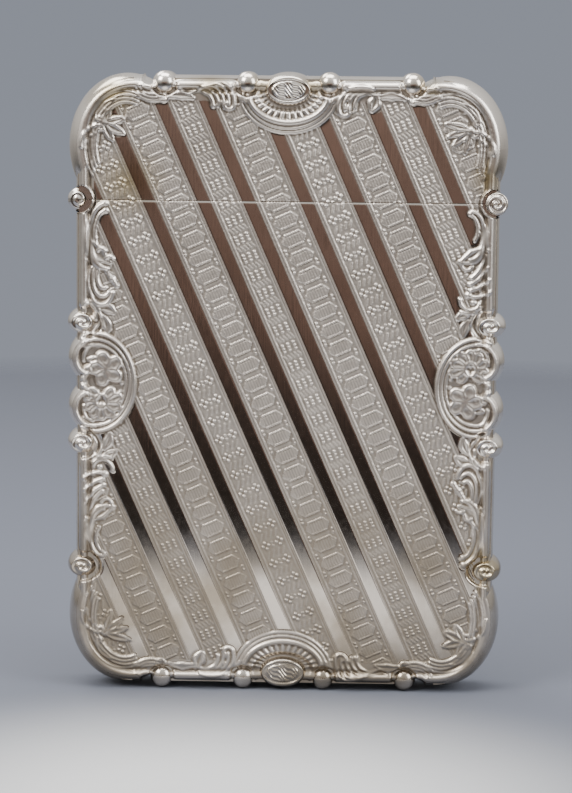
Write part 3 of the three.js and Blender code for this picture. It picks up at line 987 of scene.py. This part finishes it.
def silver(name, colour, tarnish, roughness, stains=(), grain=0.1):
    """Old silver: brighter where it is rubbed, warm brown tarnish in hollows, faint wiping scratches, and
    painted shade and a painted reflection over its lower part.
    """
    material, tree, shader = new_material(name)
    position = tree.nodes.new("ShaderNodeTexCoord").outputs["Object"]
    hollow, matte, polish = (attribute(tree, field) for field in SURFACE_FIELDS)
    clouds = noise(tree, position, 90)
    patches = ramp(tree, clouds, ((0.42, (0, 0, 0)), (0.7, (1, 1, 1))))
    depth = product(tree, hollow, 0.85)
    shade = maths(tree, "ADD", depth, product(tree, patches, 0.16), clamp=True)
    base = mix(tree, shade, colour, tarnish)
    split = tree.nodes.new("ShaderNodeSeparateXYZ")
    tree.links.new(position, split.inputs[0])
    # Painted shade: the engraved ground is darkened towards the bottom of the case.
    lower_shade = map_range(tree, split.outputs["Z"], 60 * MM, 10 * MM, 0.08, 0.36)
    base = mix(tree, product(tree, matte, lower_shade), base, tarnish)
    # Painted reflection: the lower third is tinted darker and warmer in cloudy patches.
    low_reflection = map_range(tree, split.outputs["Z"], 40 * MM, 18 * MM)
    cloudy = ramp(tree, clouds, ((0.4, (0.4, 0.4, 0.4)), (0.62, (0.95, 0.95, 0.95))))
    base = mix(tree, product(tree, low_reflection, cloudy), base, LOW_REFLECTION_TINT)
    for centre, reach in stains:
        spot = round_spot(tree, position, centre, reach)
        base = mix(tree, product(tree, spot, 0.75), base, (0.40, 0.31, 0.15))
    tree.links.new(base, shader.inputs["Base Color"])
    shader.inputs["Metallic"].default_value = 1.0
    fine = noise(tree, position, 1500, 3)
    scaled = product(tree, fine, 0.12)
    dulled = product(tree, matte, 0.1)
    dulled = maths(tree, "SUBTRACT", dulled, product(tree, polish, 0.24))
    gloss = maths(tree, "ADD", scaled, maths(tree, "ADD", dulled,
                                                     product(tree, shade, 0.15)))
    tree.links.new(maths(tree, "ADD", gloss, roughness), shader.inputs["Roughness"])
    mapping = tree.nodes.new("ShaderNodeMapping")
    mapping.inputs["Rotation"].default_value = (0.2, -TILT, 0.1)
    mapping.inputs["Scale"].default_value = (1, 1, 0.06)
    tree.links.new(position, mapping.inputs["Vector"])
    scratches = noise(tree, mapping.outputs["Vector"], 3200, 2)
    bump = tree.nodes.new("ShaderNodeBump")
    bump.inputs["Strength"].default_value = grain
    bump.inputs["Distance"].default_value = 0.1 * MM
    engraved = product(tree, noise(tree, position, 2600, 1),
                     product(tree, matte, 14.0))
    tree.links.new(maths(tree, "ADD", scratches, engraved), bump.inputs["Height"])
    tree.links.new(bump.outputs["Normal"], shader.inputs["Normal"])
    return material


STAMPED = silver("stamped_silver_finish", (0.90, 0.83, 0.755), (0.17, 0.135, 0.10), 0.25, STAINS, 0.08)
EDGE_SILVER = silver("edge_silver_finish", (0.90, 0.84, 0.765), (0.30, 0.23, 0.16), 0.13, STAINS, 0.05)
PLAIN = silver("plain_silver_finish", (0.76, 0.71, 0.62), (0.36, 0.28, 0.19), 0.26, (), 0.4)
HINGE_SILVER = silver("hinge_silver_finish", (0.78, 0.74, 0.67), (0.26, 0.20, 0.15), 0.2, (), 0.3)
PIN_STEEL = silver("pin_steel_finish", (0.55, 0.54, 0.53), (0.22, 0.18, 0.15), 0.32, (), 0.5)


def finish_cad_nodes():
    finishes = {"plain_silver": PLAIN, "hinge_silver": HINGE_SILVER, "pin_steel": PIN_STEEL}
    for name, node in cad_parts.items():
        if "sleeve" in name or "rim" in name:
            finish = finishes["plain_silver"]
        elif "pin" in name:
            finish = finishes["pin_steel"]
        elif "knuckle" in name:
            finish = finishes["hinge_silver"]
        else:
            continue
        node.data.materials.clear()
        node.data.materials.append(finish)


# ---- stage, light and camera ------------------------------------------------------------------------

def stage_table():
    """A round table top, painted pale in a pool of light before the case and dark beyond it, fading into the
    backdrop at its rim.
    """
    radius, fade = 320.0, 60.0
    pool, pool_reach = (-6, -70, 0), 72
    centre_y = 170.0
    near = np.linspace(0.002, 1, 24) * radius
    angle = np.linspace(0, 2 * math.pi, 96, endpoint=False)
    x, y = near[:, None] * np.cos(angle), centre_y + near[:, None] * np.sin(angle)
    points = np.column_stack((x.ravel(), y.ravel(), np.full(x.size, -0.02)))
    material, tree, shader = new_material("stage_paper")
    position = tree.nodes.new("ShaderNodeTexCoord").outputs["Object"]
    # Painted pool of light: the table is pale before the case and dark blue-grey beyond it.
    light_pool = round_spot(tree, position, pool, pool_reach)
    colour = ramp(tree, light_pool, ((0.0, (0.122, 0.133, 0.165)), (0.8, (0.60, 0.60, 0.60))), "EASE")
    grain = noise(tree, position, 400)
    base = mix(tree, product(tree, grain, 0.05), colour, (0.2, 0.2, 0.22))
    tree.links.new(base, shader.inputs["Base Color"])
    shader.inputs["Roughness"].default_value = 0.8
    inside = round_spot(tree, position, (0, centre_y, 0), radius)
    tree.links.new(product(tree, inside, radius / fade, clamp=True), shader.inputs["Alpha"])
    piece = make_mesh("stage_table", points, grid_faces(*x.shape, closed=True), material)


BACKDROP_LOW = (0.283, 0.302, 0.352)
BACKDROP_HIGH = (0.262, 0.283, 0.334)
ROOM_BEHIND_CAMERA = (
    (0.0, (0.10, 0.10, 0.10)), (0.40, (0.03, 0.028, 0.026)), (0.43, (0.028, 0.022, 0.02)),
    (0.452, (0.17, 0.108, 0.088)), (0.52, (0.23, 0.155, 0.13)), (0.58, (0.6, 0.58, 0.55)),
    (1.0, (0.95, 0.96, 0.98)),
)
ROOM_AROUND = (
    (0.0, (0.10, 0.10, 0.11)), (0.36, (0.09, 0.09, 0.09)), (0.47, (0.30, 0.29, 0.28)),
    (0.60, (0.62, 0.61, 0.60)), (1.0, (0.95, 0.96, 0.98)),
)


def world_light():
    """A room for the silver to mirror, pale above, brown at eye level and dark below; and a backdrop."""
    world = bpy.data.worlds.new("room")
    bpy.context.scene.world = world
    world.use_nodes = True
    tree = world.node_tree
    direction = tree.nodes.new("ShaderNodeTexCoord").outputs["Generated"]
    split = tree.nodes.new("ShaderNodeSeparateXYZ")
    tree.links.new(direction, split.inputs[0])
    level = map_range(tree, split.outputs["Z"], -1, 1)
    uneven = product(tree, noise(tree, direction, 9, 2), 0.07)
    uneven = maths(tree, "SUBTRACT", uneven, 0.035)
    level = maths(tree, "ADD", level, uneven)
    furniture = ramp(tree, level, ROOM_BEHIND_CAMERA)
    spots = noise(tree, direction, 26, 1)
    shadows = ramp(tree, spots, ((0.5, (0, 0, 0)), (0.66, (1, 1, 1))))
    shadows = product(tree, shadows, 0.75)
    furniture = mix(tree, shadows, furniture, (0.035, 0.028, 0.025))
    facing = map_range(tree, split.outputs["Y"], -0.8, -0.95)
    room = mix(tree, facing, ramp(tree, level, ROOM_AROUND), furniture)
    rays = tree.nodes.new("ShaderNodeLightPath")
    height = map_range(tree, split.outputs["Z"], -0.12, 0.05)
    backdrop = mix(tree, height, BACKDROP_LOW, BACKDROP_HIGH)
    seen = mix(tree, rays.outputs["Is Camera Ray"], room, backdrop)
    tree.links.new(seen, tree.nodes["Background"].inputs["Color"])


def place(name, data, location, rotation):
    holder = bpy.data.objects.new(name, data)
    holder.location = location
    holder.rotation_mode = "QUATERNION"
    holder.rotation_quaternion = rotation
    bpy.context.scene.collection.objects.link(holder)
    return holder


def softbox(name, spot, size, power, colour=(1, 1, 1)):
    """A soft light at a spot, aimed at the middle of the case."""
    light = bpy.data.lights.new(name, "AREA")
    light.shape = "RECTANGLE"
    light.size, light.size_y = (value * MM for value in size)
    light.energy = power
    light.color = colour
    spot = Vector(spot) * MM
    place(name, light, spot, (Vector((0, 0, MID)) * MM - spot).to_track_quat("-Z", "Y"))


def studio_lights():
    softbox("key_softbox", (-330, -300, 420), (260, 260), 2.6, (1.0, 0.98, 0.95))
    softbox("fill_softbox", (380, -220, 260), (220, 320), 1.4, (0.96, 0.98, 1.0))
    softbox("top_softbox", (0, -40, 520), (420, 260), 2.2)
    softbox("back_softbox", (-200, 200, 430), (260, 160), 0.8)


# The photo's angle: azimuth, elevation and roll; the elevation was picked among values that fit alike
CAMERA_ANGLES = (1.2, 7.0, 0.6)
CAMERA_DISTANCE = 400.0
CAMERA_LENS = 117.4
CAMERA_DROP = 2.25


def camera():
    azimuth, elevation, roll = (math.radians(value) for value in CAMERA_ANGLES)
    aim = Vector((0, 0, MID - CAMERA_DROP)) * MM
    way = Vector((math.sin(azimuth) * math.cos(elevation), -math.cos(azimuth) * math.cos(elevation),
                  math.sin(elevation)))
    lens_data = bpy.data.cameras.new("camera")
    lens_data.lens = CAMERA_LENS
    turned = (-way).to_track_quat("-Z", "Y") @ Quaternion((0, 0, 1), roll)
    bpy.context.scene.camera = place("camera", lens_data, aim + way * CAMERA_DISTANCE * MM, turned)


camera()
face = stamped_face()
skin_pieces(face, STAMPED)
edge_pieces(EDGE_SILVER)
inner_walls(face, PLAIN)
thumb_scrolls(EDGE_SILVER)
hinge_caps(EDGE_SILVER)
finish_cad_nodes()
stage_table()
world_light()
studio_lights()
